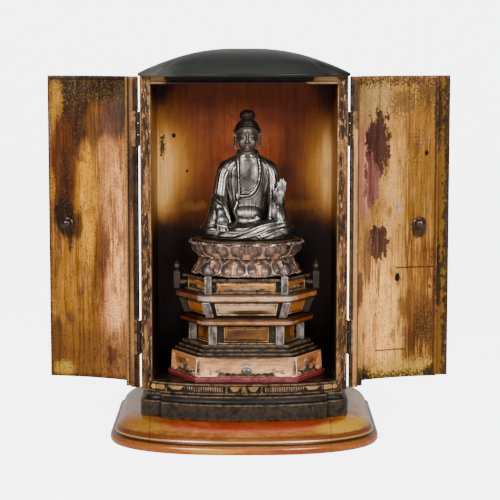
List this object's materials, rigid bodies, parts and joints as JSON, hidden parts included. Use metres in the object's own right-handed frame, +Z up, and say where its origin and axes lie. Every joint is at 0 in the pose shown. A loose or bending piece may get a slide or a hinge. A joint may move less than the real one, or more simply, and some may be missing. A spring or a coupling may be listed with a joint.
{
  "type": "portable shrine",
  "caption": "Portable altar cabinet with a domed roof, curved hinged doors and a moulded plinth, holding a seated figure on a lotus seat and a tiered six-sided stand.",
  "frame": {"origin": "middle of the plinth's flat underside", "axes": "+Z up, the open front faces -Y, +X to the right of someone who looks at the front"},
  "size_m": [0.455, 0.265, 0.437],
  "materials": {
    "amber_lacquer": "amber and gold lacquer over red, glossy, rubbed through to red along the front",
    "black_lacquer": "black lacquer, half gloss, with dust and brown wear",
    "roof_lacquer": "black lacquer, satin",
    "worn_gilding": "gold lacquer rubbed through to red-brown and black, half gloss",
    "niche_gilding": "darkened gold lacquer, half gloss",
    "carved_gilding": "carved wood with worn gold, black and pale red lacquer",
    "red_lacquer": "vermilion lacquer, half gloss",
    "hinge_iron": "dark iron with rust brown",
    "knob_lacquer": "dark brown lacquer, glossy",
    "figure_bronze": "dark silver-grey bronze, polished on the high places"
  },
  "bodies": {
    "cabinet": {"plinth": "amber_lacquer", "base_frame": "black_lacquer", "threshold": "carved_gilding", "floor": "black_lacquer", "back_wall": "niche_gilding", "ceiling": "black_lacquer", "lintel": "worn_gilding", "left_post": "worn_gilding", "left_wall": "niche_gilding", "right_post": "worn_gilding", "right_wall": "niche_gilding", "roof": "roof_lacquer", "left_upper_post_leaf": "hinge_iron", "left_lower_post_leaf": "hinge_iron", "right_upper_post_leaf": "hinge_iron", "right_lower_post_leaf": "hinge_iron", "stand_base_board": "red_lacquer", "stand_apron_tier": "carved_gilding", "stand_waist": "carved_gilding", "stand_lower_slab": "carved_gilding", "stand_slanted_tier": "carved_gilding", "stand_upper_slab": "carved_gilding", "stand_rail_tier": "carved_gilding", "lotus_lower": "carved_gilding", "lotus_upper": "figure_bronze", "buddha": "figure_bronze"},
    "left_door_leaf": {"left_door": "worn_gilding", "left_knob": "knob_lacquer", "left_upper_door_leaf": "hinge_iron", "left_lower_door_leaf": "hinge_iron"},
    "right_door_leaf": {"right_door": "worn_gilding", "right_knob": "knob_lacquer", "right_upper_door_leaf": "hinge_iron", "right_lower_door_leaf": "hinge_iron"}
  },
  "joints": [
    {"name": "left_door_hinge", "type": "hinge", "parent": "cabinet", "child": "left_door_leaf", "pos_m": [-0.1172, -0.0586, 0.2334], "axis": [0, 0, 1], "range_deg": [-4, 189.5]},
    {"name": "right_door_hinge", "type": "hinge", "parent": "cabinet", "child": "right_door_leaf", "pos_m": [0.1172, -0.0586, 0.2334], "axis": [0, 0, -1], "range_deg": [-4, 189.5]}
  ]
}
